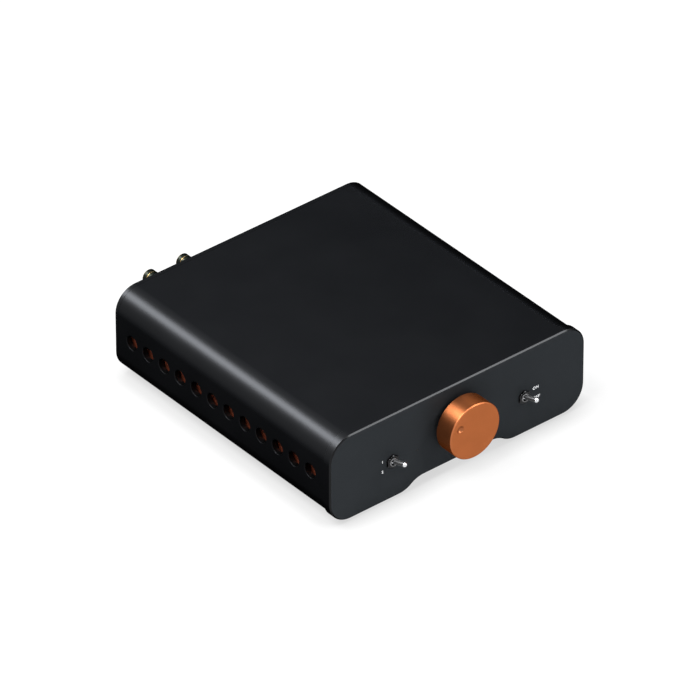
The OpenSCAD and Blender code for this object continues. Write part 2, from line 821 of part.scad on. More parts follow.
module switch_body(x) {
    bore_back = pivot_y + lever_tail + 1.5;
    difference() {
        union() {
            block(x - switch_w / 2, x + switch_w / 2, switch_y, control_y,
                  switch_z - switch_h / 2, switch_z + switch_h / 2);
            rod_y(bushing_r, -bushing_out, bushing_out + switch_y + over, x, switch_z);
            rod_y(bushing_r + 1, panel_t, switch_y - panel_t, x, switch_z);
        }
        rod_y(bushing_bore_r, -bushing_out - over, bushing_out + over + bore_back, x, switch_z);
        translate([x, pivot_y, switch_z]) rotate([0, 90, 0])
            cylinder(r = lever_pin_d / 2 + run_fit, h = 2 * (lever_pin_half + run_fit), center = true);
    }
}

// A bat lever: ball and cross pin at the pivot, thin neck, thick bar, round tip
module switch_lever(x) {
    neck_r = lever_neck_d / 2;
    bar_r = lever_bar_d / 2;
    translate([x, pivot_y, switch_z]) rotate([-lever_tilt, 0, 0]) {
        sphere(d = lever_ball_d);
        rotate([90, 0, 0]) rotate_extrude() polygon([
            [0, -lever_tail], [neck_r, -lever_tail], [neck_r, lever_neck_end],
            [bar_r, lever_bar_start], [bar_r, lever_len], [0, lever_len]]);
        translate([0, -lever_len, 0]) sphere(d = lever_tip_d);
        rotate([0, 90, 0]) cylinder(d = lever_pin_d, h = 2 * lever_pin_half, center = true);
    }
}

module switch_nut(x) {
    nut_y(switch_nut_w, bushing_r + run_fit, -switch_nut_t, switch_nut_t, x, switch_z);
}

module input_switch_body() in_case() color(steel) switch_body(-switch_x);

module input_switch_lever() in_case() color(steel) switch_lever(-switch_x);

module input_switch_nut() in_case() color(steel) switch_nut(-switch_x);

module power_switch_body() in_case() color(steel) switch_body(switch_x);

module power_switch_lever() in_case() color(steel) switch_lever(switch_x);

module power_switch_nut() in_case() color(steel) switch_nut(switch_x);

// Status light

module light_pipe() in_case() color("white") {
    rod_y(light_d / 2, 0, panel_t + 1, -light_x, light_z);
    rod_y(lamp_d / 2, panel_t, lamp_y - panel_t, -light_x, light_z);
}

module status_lamp() in_case() color("orangered") {
    lead_y = lamp_y + lamp_len - 0.5;
    rod_y(lamp_d / 2, lamp_y, lamp_len, -light_x, light_z);
    rod_y(lamp_d / 2 + 0.3, lamp_y + lamp_len - lamp_rim_t, lamp_rim_t, -light_x, light_z);
    for (lead = [-0.8, 0.8]) rod_y(0.25, lead_y, control_y - lead_y, -light_x + lead, light_z);
}

// Sockets

// Moulded block that holds both phono sockets above the main board
module phono_block() in_case() color(black_plastic) {
    difference() {
        union() {
            block(phono_xs[0] - block_side, phono_xs[1] + block_side, rear_y - block_deep, rear_y,
                  board_top, phono_z + phono_boss_r + 0.5);
            for (x = phono_xs) rod_y(phono_boss_r, rear_y - over, phono_seat_y - rear_y + over, x, phono_z);
        }
        for (x = phono_xs)
            rod_y(phono_root_r + run_fit, phono_root_y, phono_end_y - phono_root_y, x, phono_z);
        // Hollow underside between the legs
        block(phono_xs[0] - block_side + block_wall, phono_xs[1] + block_side - block_wall,
              rear_y - block_deep - over, rear_y - block_wall,
              board_top - over, phono_z - phono_r - block_wall - 1);
    }
}

// A turned shell that narrows behind the shoulder seated on the block
module phono_shell(x) {
    difference() {
        union() {
            rod_y(phono_root_r, phono_root_y, phono_end_y - phono_root_y, x, phono_z);
            rod_y(phono_r, phono_seat_y, phono_end_y - phono_seat_y, x, phono_z);
        }
        rod_y(phono_insulator_r, phono_root_y - over, phono_end_y - phono_root_y + 2 * over, x, phono_z);
    }
}

module phono_insulator(x) {
    ring_y(phono_insulator_r - run_fit, phono_contact_r + run_fit,
           phono_root_y, phono_insulator_y - phono_root_y, x, phono_z);
}

module left_phono_shell() in_case() color(gold) phono_shell(phono_xs[0]);

module right_phono_shell() in_case() color(gold) phono_shell(phono_xs[1]);

module left_phono_insulator() in_case() color("white") phono_insulator(phono_xs[0]);

module right_phono_insulator() in_case() color("#b02020") phono_insulator(phono_xs[1]);

module phono_contacts() in_case() color(gold) {
    for (x = phono_xs) difference() {
        rod_y(phono_contact_r, phono_root_y, phono_contact_y - phono_root_y, x, phono_z);
        rod_y(phono_bore_r, phono_contact_y - phono_bore_len, phono_bore_len + over, x, phono_z);
    }
}

module line_socket() in_case() color(black_plastic) {
    difference() {
        union() {
            block(-line_x - line_body_w / 2, -line_x + line_body_w / 2,
                  rear_y - line_body_deep, rear_y, board_top, line_z + line_nose_r + 0.5);
            rod_y(line_nose_r, rear_y - over, rear_t + over + line_nose_out, -line_x, line_z);
        }
        rod_y(line_bore_d / 2, rear_y - line_body_deep + 2, line_body_deep + rear_t + line_nose_out,
              -line_x, line_z);
    }
}

module line_socket_nut() in_case() color(steel) {
    ring_y(line_nut_w / 2, line_nose_r + run_fit, case_depth, line_nut_t, -line_x, line_z);
}

// Round power inlet, with solder tags that stand on the main board
module power_inlet() in_case() color(black_plastic) {
    difference() {
        union() {
            rod_y(inlet_r, case_depth - inlet_deep, inlet_deep, -inlet_x, inlet_z);
            rod_y(inlet_flange_r, case_depth, inlet_flange_t, -inlet_x, inlet_z);
            for (side = [-1, 1]) let (x = -inlet_x + side * inlet_tag_x)
                block(x - inlet_tag_w / 2, x + inlet_tag_w / 2, case_depth - inlet_deep,
                      case_depth - inlet_deep + inlet_tag_t, board_top, inlet_z);
        }
        rod_y(inlet_bore_d / 2, case_depth - inlet_deep + inlet_back_t, inlet_deep + over, -inlet_x, inlet_z);
    }
}

module power_inlet_pin() in_case() color(steel) {
    start = case_depth - inlet_deep + inlet_back_t;
    rod_y(inlet_pin_d / 2, start, case_depth + inlet_flange_t - 1 - start, -inlet_x, inlet_z);
}

// Speaker terminals

module terminal_studs() in_case() color(gold) {
    for (x = post_xs) difference() {
        union() {
            rod_y(stud_r, stud_root_y, stud_end_y - stud_root_y, x, post_z);
            rod_y(cap_d / 2 - 0.4, collar_y, collar_t, x, post_z);
        }
        rod_y(stud_bore_d / 2, stud_end_y - stud_bore_len, stud_bore_len + over, x, post_z);
    }
}

module terminal_insulators() in_case() color(black_plastic) {
    for (x = post_xs) {
        ring_y(post_ring_r, stud_r + run_fit, case_depth, outer_ring_t, x, post_z);
        ring_y(inner_ring_r, stud_r + run_fit, rear_y - inner_ring_t, inner_ring_t, x, post_z);
    }
}

module terminal_nuts() in_case() color(steel) {
    for (x = post_xs)
        nut_y(post_nut_w, stud_r + run_fit, tag_y - post_nut_t, post_nut_t, x, post_z);
}

// Brass tags from the studs down to the main board
module terminal_tags() in_case() color(gold) {
    for (x = post_xs) difference() {
        union() {
            rod_y(post_nut_w / 2, tag_y, tag_t, x, post_z);
            block(x - 2.5, x + 2.5, tag_y, tag_y + tag_t, board_top, post_z);
        }
        rod_y(stud_r + run_fit, tag_y - over, tag_t + 2 * over, x, post_z);
    }
}

module terminal_washer(k) in_case() color(gold) {
    ring_y(cap_d / 2 - 0.6, stud_r + run_fit, washer_y, washer_t, post_xs[k], post_z);
}

// A fluted cap that runs on the stud's thread
module terminal_cap(k) in_case() color(k % 2 == 0 ? black_plastic : "#a01c1c") {
    x = post_xs[k];
    flute_r = cap_d / 14;
    difference() {
        translate([x, cap_y, post_z]) rotate([-90, 0, 0]) rotate_extrude() polygon([
            [stud_r + run_fit, 0], [cap_d / 2 - 0.4, 0], [cap_d / 2, 0.4],
            [cap_d / 2, cap_len - 0.8], [cap_d / 2 - 0.8, cap_len], [stud_r + run_fit, cap_len]]);
        for (f = [0:flute_count - 1]) let (a = 360 * f / flute_count)
            rod_y(flute_r, cap_y + 1.5, cap_len,
                  x + (cap_d / 2 + flute_r * 0.45) * cos(a), post_z + (cap_d / 2 + flute_r * 0.45) * sin(a));
    }
}

front_panel();
case_sleeve();
rear_panel();
chassis_tray();
rear_panel_screws();
front_panel_screws();
rubber_feet();
left_heatsink();
right_heatsink();
left_power_transistors();
right_power_transistors();
heatsink_screws();
main_board();
board_standoffs();
board_screws();
supply_capacitors();
output_inductors();
film_capacitors();
speaker_relays();
modulator_chips();
control_board();
link_header();
volume_knob();
knob_set_screw();
volume_control_body();
volume_shaft();
volume_washer();
volume_nut();
input_switch_body();
input_switch_lever();
input_switch_nut();
power_switch_body();
power_switch_lever();
power_switch_nut();
light_pipe();
status_lamp();
phono_block();
left_phono_shell();
right_phono_shell();
left_phono_insulator();
right_phono_insulator();
phono_contacts();
line_socket();
line_socket_nut();
power_inlet();
power_inlet_pin();
terminal_studs();
terminal_insulators();
terminal_nuts();
terminal_tags();
terminal_washer(0);  // terminal_washer_1
terminal_washer(1);  // terminal_washer_2
terminal_washer(2);  // terminal_washer_3
terminal_washer(3);  // terminal_washer_4
terminal_cap(0);  // terminal_cap_1
terminal_cap(1);  // terminal_cap_2
terminal_cap(2);  // terminal_cap_3
terminal_cap(3);  // terminal_cap_4
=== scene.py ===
from math import atan, cos, hypot, pi, radians, sin, sqrt

import bmesh
import bpy
from mathutils import Matrix, Vector


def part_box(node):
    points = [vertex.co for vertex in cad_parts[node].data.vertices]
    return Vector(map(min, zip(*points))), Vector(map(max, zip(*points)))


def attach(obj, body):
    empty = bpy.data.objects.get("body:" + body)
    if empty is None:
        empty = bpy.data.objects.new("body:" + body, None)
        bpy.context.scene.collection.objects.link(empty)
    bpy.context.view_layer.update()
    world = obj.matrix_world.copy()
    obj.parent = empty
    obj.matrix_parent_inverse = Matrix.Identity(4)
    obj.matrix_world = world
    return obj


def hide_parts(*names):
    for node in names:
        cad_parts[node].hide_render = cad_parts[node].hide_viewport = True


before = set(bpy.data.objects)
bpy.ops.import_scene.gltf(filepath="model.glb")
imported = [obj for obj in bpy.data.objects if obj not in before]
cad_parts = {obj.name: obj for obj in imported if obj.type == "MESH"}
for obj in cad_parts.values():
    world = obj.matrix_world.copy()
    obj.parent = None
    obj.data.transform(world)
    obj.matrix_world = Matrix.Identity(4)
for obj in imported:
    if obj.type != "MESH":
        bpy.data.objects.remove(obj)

scene = bpy.context.scene
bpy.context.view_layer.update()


# Camera. It stands in front of the amplifier, to its left and above it, and far
# off behind a long lens, so that the case's long edges look nearly parallel.
camera_place = Vector((-2.63989, -3.18452, 2.96538))
camera_left = radians(-39.688)
camera_up = radians(35.413)
camera_roll = radians(0.030)
photo_width = 700
focal_pixels = 9946.7
film_width = 36
sight_near, sight_far = 0.5, 60

look_back = Vector((sin(camera_left) * cos(camera_up),
                    -cos(camera_left) * cos(camera_up),
                    sin(camera_up)))
level_right = Vector((cos(camera_left), sin(camera_left), 0))
level_up = look_back.cross(level_right)
view_right = level_right * cos(camera_roll) + level_up * sin(camera_roll)
view_up = level_up * cos(camera_roll) - level_right * sin(camera_roll)
facing = Matrix((view_right, view_up, look_back)).transposed().to_4x4()

lens = bpy.data.cameras.new("camera")
lens.sensor_width = film_width
lens.lens = film_width * focal_pixels / photo_width
lens.clip_start = sight_near
lens.clip_end = sight_far
camera = bpy.data.objects.new("camera", lens)
camera.matrix_world = Matrix.Translation(camera_place) @ facing
scene.collection.objects.link(camera)
scene.camera = camera
scene.view_settings.view_transform = "Standard"


# Table and light. The amplifier stands on a white table in a white room. A window
# behind it draws the light line along its round edge, and wide lamps hang over its
# left and behind it. One in front on the right throws the knob's shadow.
table_reach = 9.0
table_pale = (0.80, 0.80, 0.80, 1)
table_shade = (0.06, 0.06, 0.06, 1)
table_glow = 0.88
# The table's glow darkens close round the amplifier's foot as a painted shadow: how far it reaches, how
# deep it gets, how covered a spot is where it is deepest, and how many rays feel for nearness.
painted_shade_reach, painted_shade_depth, painted_shade_covered, painted_shade_samples = 0.013, 0.26, 0.5, 16
room_light = 0.30
lamp_aim = Vector((0, 0, 0.03))


def seen_directly(nodes, links):
    """One where the eye, a polished face or clear plastic looks straight at this surface."""
    path = nodes.new("ShaderNodeLightPath")
    seen = path.outputs["Is Camera Ray"]
    for way in ("Is Glossy Ray", "Is Transmission Ray"):
        either = nodes.new("ShaderNodeMath")
        either.operation = "MAXIMUM"
        links.new(seen, either.inputs[0])
        links.new(path.outputs[way], either.inputs[1])
        seen = either.outputs[0]
    return seen


table_top = bpy.data.materials.new("white_table")
table_top.use_nodes = True
nodes, links = table_top.node_tree.nodes, table_top.node_tree.links
nodes.clear()
surface = nodes.new("ShaderNodeOutputMaterial")
pick = nodes.new("ShaderNodeMixShader")
plain = nodes.new("ShaderNodeBsdfDiffuse")
plain.inputs["Color"].default_value = table_pale
# Painted shadow: the glow seen straight on is darkened wherever the amplifier stands close by.
painted_shade_nearness = nodes.new("ShaderNodeAmbientOcclusion")
painted_shade_nearness.samples = painted_shade_samples
painted_shade_nearness.inputs["Distance"].default_value = painted_shade_reach
glow_less_painted_shade = nodes.new("ShaderNodeMapRange")
glow_less_painted_shade.inputs["From Min"].default_value = painted_shade_covered
glow_less_painted_shade.inputs["To Min"].default_value = table_glow * (1 - painted_shade_depth)
glow_less_painted_shade.inputs["To Max"].default_value = table_glow
links.new(painted_shade_nearness.outputs["AO"], glow_less_painted_shade.inputs["Value"])
glow = nodes.new("ShaderNodeEmission")
links.new(glow_less_painted_shade.outputs["Result"], glow.inputs["Strength"])
shade = nodes.new("ShaderNodeBsdfDiffuse")
shade.inputs["Color"].default_value = table_shade
both = nodes.new("ShaderNodeAddShader")
links.new(glow.outputs[0], both.inputs[0])
links.new(shade.outputs[0], both.inputs[1])
links.new(seen_directly(nodes, links), pick.inputs[0])
links.new(plain.outputs[0], pick.inputs[1])
links.new(both.outputs[0], pick.inputs[2])
links.new(pick.outputs[0], surface.inputs["Surface"])

table_corners = [(x * table_reach, y * table_reach, 0) for x, y in ((-1, -1), (1, -1), (1, 1), (-1, 1))]
top_mesh = bpy.data.meshes.new("table")
top_mesh.from_pydata(table_corners, [], [(0, 1, 2, 3)])
top_mesh.materials.append(table_top)
table = bpy.data.objects.new("table", top_mesh)
scene.collection.objects.link(table)

room = bpy.data.worlds.new("white_room")
room.use_nodes = True
scene.world = room
nodes, links = room.node_tree.nodes, room.node_tree.links
walls = nodes["Background"]
brightness = nodes.new("ShaderNodeMapRange")
brightness.inputs["To Min"].default_value = room_light
brightness.inputs["To Max"].default_value = 1.0
links.new(seen_directly(nodes, links), brightness.inputs["Value"])
walls.inputs["Color"].default_value = (1, 1, 1, 1)
links.new(brightness.outputs["Result"], walls.inputs["Strength"])


def soft_lamp(name, place, size, watts):
    """A flat lamp that faces the amplifier. Its place and size are in metres."""
    light = bpy.data.lights.new(name, "AREA")
    light.shape = "RECTANGLE"
    light.size, light.size_y = size
    light.energy = watts
    lamp = bpy.data.objects.new(name, light)
    lamp.location = place
    lamp.rotation_mode = "QUATERNION"
    lamp.rotation_quaternion = (Vector(place) - lamp_aim).to_track_quat("Z", "Y")
    lamp.visible_camera = False
    scene.collection.objects.link(lamp)


soft_lamp("soft_lamp", place=(1.34, -1.66, 1.36), size=(0.9, 1.1), watts=40)
soft_lamp("window", place=(-0.89, 1.50, 1.68), size=(0.9, 0.9), watts=56)
soft_lamp("ceiling_panel", place=(1.35, 1.63, 1.52), size=(1.6, 1.6), watts=10)
soft_lamp("overhead", place=(-1.12, 0.06, 1.95), size=(1.5, 1.2), watts=165)


# Front panel. A thick aluminium plate, cut to the case's outline, bead-blasted and
# anodised black, with a polished chamfer round its face and printed marks. Screws
# through the tray's tabs hold it from behind.
mm = 0.001
panel_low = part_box("front_panel")[0]
panel_half_w, panel_h, panel_t = 84.0, 51.8, 5.3
corner_r, raise_h, rail_x, bend_w = 14.0, 5.1, 38.5, 16.0
bend_r = (bend_w ** 2 + raise_h ** 2) / (4 * raise_h)
bend_turn = 2 * atan(raise_h / bend_w)
panel_chamfer, panel_back_edge = 0.7, 0.25
# Small steps that round the two edges of the chamfer
edge_soft, edge_roll, edge_hold = 0.03, 0.05, 0.3
knob_z, switch_x, switch_z = 28.9, 43.5, 23.1
light_x, light_z = -26.9, 22.4
volume_hole, switch_hole, light_hole = 4.6, 3.05, 0.6
hole_edge, hole_flare, drill_past = 0.12, 1.1, 1.0
# How squarely a face looks to the front, as flat or as slanted, and the size above which it is no sliver
flat_on, slanted, least_facet = 0.95, 0.3, 0.4
black_tone = (0.0175, 0.0182, 0.0196)
face_tone = (0.0233, 0.0258, 0.0284)
edge_tone = (0.0180, 0.0184, 0.0192)
print_tone = (0.56, 0.57, 0.58)
case_to_frame = Matrix.Translation(Vector((0, panel_low.y, panel_low.z))) @ Matrix.Scale(mm, 4)
to_back = Matrix.Rotation(radians(-90), 4, "X")


def arc(cx, cz, r, start, end, first=0, steps=16):
    """Points along an arc. A first of 1 leaves out the point that the arc before it ends at."""
    turns = [start + (end - start) * k / steps for k in range(first, steps + 1)]
    return [(cx + r * cos(a), cz + r * sin(a)) for a in turns]


def case_outline(inset):
    """The case's cross-section as points (x, z), drawn in by the same distance all round."""
    corner_x, corner_z, r = panel_half_w - corner_r, panel_h - corner_r, corner_r - inset
    arch_x, arch_z, arch_r = rail_x - bend_w, raise_h - bend_r, bend_r + inset
    rail_r = bend_r - inset
    return (arc(corner_x, corner_z, r, 0, pi / 2)
            + arc(-corner_x, corner_z, r, pi / 2, pi)
            + arc(-corner_x, corner_r, r, pi, 1.5 * pi)
            + arc(-rail_x, bend_r, rail_r, 1.5 * pi, 1.5 * pi + bend_turn, steps=8)
            + arc(-arch_x, arch_z, arch_r, pi / 2 + bend_turn, pi / 2, first=1, steps=8)
            + arc(arch_x, arch_z, arch_r, pi / 2, pi / 2 - bend_turn, steps=8)
            + arc(rail_x, bend_r, rail_r, 1.5 * pi - bend_turn, 1.5 * pi, first=1, steps=8)
            + arc(corner_x, corner_r, r, 1.5 * pi, 2 * pi))


def skin(mesh, rings, joined=False):
    """Covers a row of rings with faces. A joined row closes on itself, as a hollow piece does."""
    rows = [[mesh.verts.new(point) for point in ring] for ring in rings]
    pairs = list(zip(rows, rows[1:])) + ([(rows[-1], rows[0])] if joined else [])
    for one, other in pairs:
        for k in range(max(len(one), len(other))):
            corners = [one[k % len(one)], one[(k + 1) % len(one)],
                       other[(k + 1) % len(other)], other[k % len(other)]]
            mesh.faces.new(list(dict.fromkeys(corners)))
    if not joined:
        for end in (rows[0], rows[-1]):
            if len(end) > 2:
                mesh.faces.new(end)
    bmesh.ops.recalc_face_normals(mesh, faces=mesh.faces)
    return mesh


def extruded(outline, steps, joined=False):
    """A bar along the case that follows an outline, through steps of (y, inset)."""
    return skin(bmesh.new(), [[(x, y, z) for x, z in outline(inset)] for y, inset in steps], joined)


def turned(mesh, profile, place, lie=to_back, sides=64, section=None, joined=False):
    """Turns a profile of (distance along, radius) on an axis: front to back, or as it lies."""
    where = Matrix.Translation(Vector(place)) @ lie
    on_axis = 1e-4
    rings = []
    for along, radius in profile:
        if radius < on_axis:
            rings.append([where @ Vector((0, 0, along))])
            continue
        turns = [2 * pi * k / sides for k in range(sides)]
        reach = [section(a, radius, along) if section else radius for a in turns]
        rings.append([where @ Vector((r * cos(a), r * sin(a), along)) for a, r in zip(turns, reach)])
    return skin(mesh, rings, joined)


def shaded(data, crease):
    """Smooth faces, with a hard edge wherever the surface turns by more than the crease."""
    for face in data.polygons:
        face.use_smooth = True
    data.set_sharp_from_angle(angle=radians(crease))


def as_object(name, mesh, crease=24):
    """A mesh drawn in millimetres, in case places, as an object in the frame."""
    mesh.transform(case_to_frame)
    data = bpy.data.meshes.new(name)
    mesh.to_mesh(data)
    mesh.free()
    shaded(data, crease)
    made = bpy.data.objects.new(name, data)
    scene.collection.objects.link(made)
    return made


def drilled(made, holes, crease=24):
    """Cuts the shape of another mesh out of an object."""
    tool = as_object("tool", holes)
    cut = made.modifiers.new("cut", "BOOLEAN")
    cut.object = tool
    cut.solver = "EXACT"
    whole = made.data
    made.data = bpy.data.meshes.new_from_object(made.evaluated_get(bpy.context.evaluated_depsgraph_get()))
    made.modifiers.clear()
    made.data.name = made.name
    bpy.data.meshes.remove(whole)
    bpy.data.objects.remove(tool)
    shaded(made.data, crease)
    return made


def fit(made, coat, body, slot, *nodes):
    """Gives a piece its finish and hangs it on its body, in place of the nodes it stands for."""
    made.data.materials.clear()
    made.data.materials.append(coat)
    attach(made, body)
    if nodes:
        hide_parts(*nodes)
    return made


def recoat(made, coat, chosen):
    """Gives another finish to the faces chosen by the face and by its middle in case places."""
    made.data.materials.append(coat)
    last = len(made.data.materials) - 1
    to_case = case_to_frame.inverted()
    for face in made.data.polygons:
        if chosen(face, to_case @ face.center):
            face.material_index = last


def finish(name, tone, rough, metal=0.0, gloss=0.5, edge=1.0, patches=0.10, patch=9.0, grain=0.25,
           relief=0.006, streaks=(1, 1, 1), rough_change=0.04):
    """A finish whose tone and roughness drift from patch to patch, over a fine raised grain."""
    drift_low, drift_high, drift_detail, grain_detail = 0.3, 0.7, 4, 2
    made = bpy.data.materials.new(name)
    made.use_nodes = True
    nodes, links = made.node_tree.nodes, made.node_tree.links
    shader = nodes["Principled BSDF"]
    shader.inputs["Metallic"].default_value = metal
    shader.inputs["Specular IOR Level"].default_value = gloss
    shader.inputs["Specular Tint"].default_value = (edge, edge, edge, 1)
    place = nodes.new("ShaderNodeTexCoord")
    along = nodes.new("ShaderNodeMapping")
    along.inputs["Scale"].default_value = streaks
    links.new(place.outputs["Object"], along.inputs["Vector"])
    drift = nodes.new("ShaderNodeTexNoise")
    drift.inputs["Scale"].default_value = 1 / (patch * mm)
    drift.inputs["Detail"].default_value = drift_detail
    links.new(along.outputs["Vector"], drift.inputs["Vector"])
    tones = nodes.new("ShaderNodeValToRGB")
    darker, lighter = tones.color_ramp.elements
    darker.position, lighter.position = drift_low, drift_high
    darker.color = (*[c * (1 - patches) for c in tone], 1)
    lighter.color = (*[c * (1 + patches) for c in tone], 1)
    links.new(drift.outputs["Fac"], tones.inputs["Fac"])
    links.new(tones.outputs["Color"], shader.inputs["Base Color"])
    wear = nodes.new("ShaderNodeMapRange")
    wear.inputs["From Min"].default_value = drift_low
    wear.inputs["From Max"].default_value = drift_high
    wear.inputs["To Min"].default_value = rough - rough_change
    wear.inputs["To Max"].default_value = rough + rough_change
    links.new(drift.outputs["Fac"], wear.inputs["Value"])
    links.new(wear.outputs["Result"], shader.inputs["Roughness"])
    pits = nodes.new("ShaderNodeTexNoise")
    pits.inputs["Scale"].default_value = 1 / (grain * mm)
    pits.inputs["Detail"].default_value = grain_detail
    links.new(along.outputs["Vector"], pits.inputs["Vector"])
    bump = nodes.new("ShaderNodeBump")
    bump.inputs["Distance"].default_value = relief * mm
    links.new(pits.outputs["Fac"], bump.inputs["Height"])
    links.new(bump.outputs["Normal"], shader.inputs["Normal"])
    return made


def dyed(name, tone, rough, metal=1.0, **surface):
    """A dyed or dark plated metal, which stays dark where it is seen at a slant."""
    return finish(name, tone, rough, metal, gloss=0, edge=0, **surface)


black_anodised = dyed("black_anodised", black_tone, rough=0.34, patches=0.03, patch=30, grain=0.2,
                      relief=0.004, rough_change=0.012)
blasted_face = dyed("blasted_face", face_tone, rough=0.42, metal=0.5, patches=0.03, patch=30, grain=0.2,
                    relief=0.008, rough_change=0.012)
polished_edge = dyed("polished_edge", edge_tone, rough=0.24, patches=0.03, patch=4, grain=0.2,
                     relief=0.002, streaks=(0.1, 1, 1), rough_change=0.02)
panel = as_object("front_panel_plate", extruded(case_outline, [
    (0, panel_chamfer + edge_hold), (0, panel_chamfer + edge_roll),
    (edge_soft, panel_chamfer - edge_soft), (panel_chamfer - edge_soft, edge_soft),
    (panel_chamfer + edge_roll, 0), (panel_chamfer + edge_hold, 0),
    (panel_t - panel_back_edge, 0), (panel_t, panel_back_edge)]))
holes = bmesh.new()
for x, z, r in ((0, knob_z, volume_hole), (-switch_x, switch_z, switch_hole),
                (switch_x, switch_z, switch_hole), (light_x, light_z, light_hole)):
    turned(holes, [(-drill_past, r + hole_flare), (hole_edge, r), (panel_t + drill_past, r)], (x, 0, z))
fit(drilled(panel, holes), black_anodised, "case", "black_anodised", "front_panel")
recoat(panel, blasted_face, lambda face, middle: face.normal.y < -flat_on)
recoat(panel, polished_edge, lambda face, middle: (
    -flat_on <= face.normal.y < -slanted and face.area > (least_facet * mm) ** 2))

grey_print = finish("grey_print", print_tone, rough=0.6, gloss=0.2, patches=0.08, patch=0.6, grain=0.1,
                    relief=0.004)
mark_lift, mark_depth, mark_h, mark_high_z, mark_low_z = 0.004, 0.012, 1.7, 25.2, 19.1
input_mark_x, on_mark_x, off_mark_x = -49.8, 51.4, 52.0
capital_share, letter_gap, stroke_gain = 0.7, 1.1, 0.015


def mark(name, words, x, y, z, height, facing_back=False):
    """Printed characters, centred on a place, a hair proud of the panel."""
    letters = bpy.data.curves.new(name, "FONT")
    letters.body = words
    letters.size = height * mm / capital_share
    letters.space_character = letter_gap
    letters.align_x = "CENTER"
    letters.align_y = "CENTER"
    letters.extrude = mark_depth * mm / 2
    letters.offset = height * mm * stroke_gain
    printed = bpy.data.objects.new(name, letters)
    scene.collection.objects.link(printed)
    stand = Matrix.Rotation(pi if facing_back else 0, 4, "Z") @ Matrix.Rotation(pi / 2, 4, "X")
    printed.matrix_world = Matrix.Translation(case_to_frame @ Vector((x, y, z))) @ stand
    bpy.context.view_layer.update()
    flat = bpy.data.meshes.new_from_object(printed)
    flat.transform(printed.matrix_world)
    bpy.data.objects.remove(printed)
    made = bpy.data.objects.new(name, flat)
    scene.collection.objects.link(made)
    fit(made, grey_print, "case", "white_plastic")


mark("input_mark_1", "1", input_mark_x, mark_lift, mark_high_z, mark_h)
mark("input_mark_2", "2", input_mark_x, mark_lift, mark_low_z, mark_h)
mark("power_mark_on", "ON", on_mark_x, mark_lift, mark_high_z, mark_h)
mark("power_mark_off", "OFF", off_mark_x, mark_lift, mark_low_z, mark_h)


# Case sleeve. One aluminium extrusion, anodised black, with a chamfered vent row
# through each side, seats for the feet under its rails, and a screw channel in each
# of its corners.
sleeve_front, sleeve_back = panel_t, 170.7
lip, wall, cut_edge = 0.9, 3.0, 0.15
vent_count, vent_r, vent_pitch, vent_first, vent_z = 12, 4.25, 13.0, 16.7, 26.2
vent_chamfer, vent_past = 0.1, 0.5
foot_x, foot_ys, foot_r, foot_seat, foot_gap = 54.0, (24.0, 149.2), 6.0, 0.8, 0.1
channel_r, channel_sink, channel_short, thread_r = 3.6, 1.0, 0.2, 1.55
upright = Matrix.Identity(4)

side_x, inner_x = panel_half_w - lip, panel_half_w - lip - wall
sleeve = as_object("case_tube", extruded(case_outline, [
    (sleeve_front, lip + cut_edge), (sleeve_front + cut_edge, lip), (sleeve_back - cut_edge, lip),
    (sleeve_back, lip + cut_edge), (sleeve_back, lip + wall), (sleeve_front, lip + wall)], joined=True))
vent_cut = [(inner_x - drill_past, vent_r), (side_x - vent_chamfer, vent_r),
            (side_x + vent_past, vent_r + vent_chamfer + vent_past)]
seat_cut = [(-drill_past, foot_r + foot_gap), (lip + foot_seat, foot_r + foot_gap)]
holes = bmesh.new()
for side in (-1, 1):
    sideways = Matrix.Rotation(radians(90 * side), 4, "Y")
    for k in range(vent_count):
        turned(holes, vent_cut, (0, vent_first + k * vent_pitch, vent_z), sideways, sides=72)
    for y in foot_ys:
        turned(holes, seat_cut, (side * foot_x, y, 0), upright)
fit(drilled(sleeve, holes), black_anodised, "case", "black_anodised", "case_sleeve")

channel_in = (corner_r - lip - wall - channel_r + channel_sink) * sqrt(0.5)
channel_x = panel_half_w - corner_r + channel_in
channel_low, channel_high = corner_r - channel_in, panel_h - corner_r + channel_in
channel_front, channel_back = sleeve_front + channel_short, sleeve_back - channel_short
channels = bmesh.new()
for side in (-1, 1):
    for z in (channel_low, channel_high):
        turned(channels, [(channel_front, thread_r), (channel_front, channel_r),
                          (channel_back, channel_r), (channel_back, thread_r)],
               (side * channel_x, 0, z), sides=32, joined=True)
fit(as_object("screw_channels", channels), black_anodised, "case", "black_anodised")


# Rear panel. A plain black anodised sheet with the sockets' holes, held by four
# screws in the sleeve's channels and two in the tray. Its marks are printed.
rear_y, case_depth, rear_edge = sleeve_back, 173.2, 0.25
rear_tab_x, rear_tab_z = 22.0, 13.8
phono_xs, phono_z = (-52.0, -30.0), 41.0
line_x, line_z, inlet_x, post_z = -68.0, 22.7, -8.0, 24.0
post_xs = (10.0, 29.0, 48.0, 67.0)
screw_hole, boss_hole, line_hole, inlet_hole, post_hole = 1.6, 5.45, 3.1, 5.6, 3.6

plate = as_object("rear_plate", extruded(case_outline, [
    (rear_y, lip), (case_depth - rear_edge, lip), (case_depth, lip + rear_edge)]))
screw_places = ([(side * channel_x, z) for side in (-1, 1) for z in (channel_low, channel_high)]
                + [(-rear_tab_x, rear_tab_z), (rear_tab_x, rear_tab_z)])
rear_holes = ([(x, z, screw_hole) for x, z in screw_places]
              + [(x, phono_z, boss_hole) for x in phono_xs]
              + [(line_x, line_z, line_hole), (inlet_x, post_z, inlet_hole)]
              + [(x, post_z, post_hole) for x in post_xs])
holes = bmesh.new()
for x, z, r in rear_holes:
    turned(holes, [(rear_y - drill_past, r), (case_depth + drill_past, r)], (x, 0, z))
fit(drilled(plate, holes), black_anodised, "case", "black_anodised", "rear_panel")

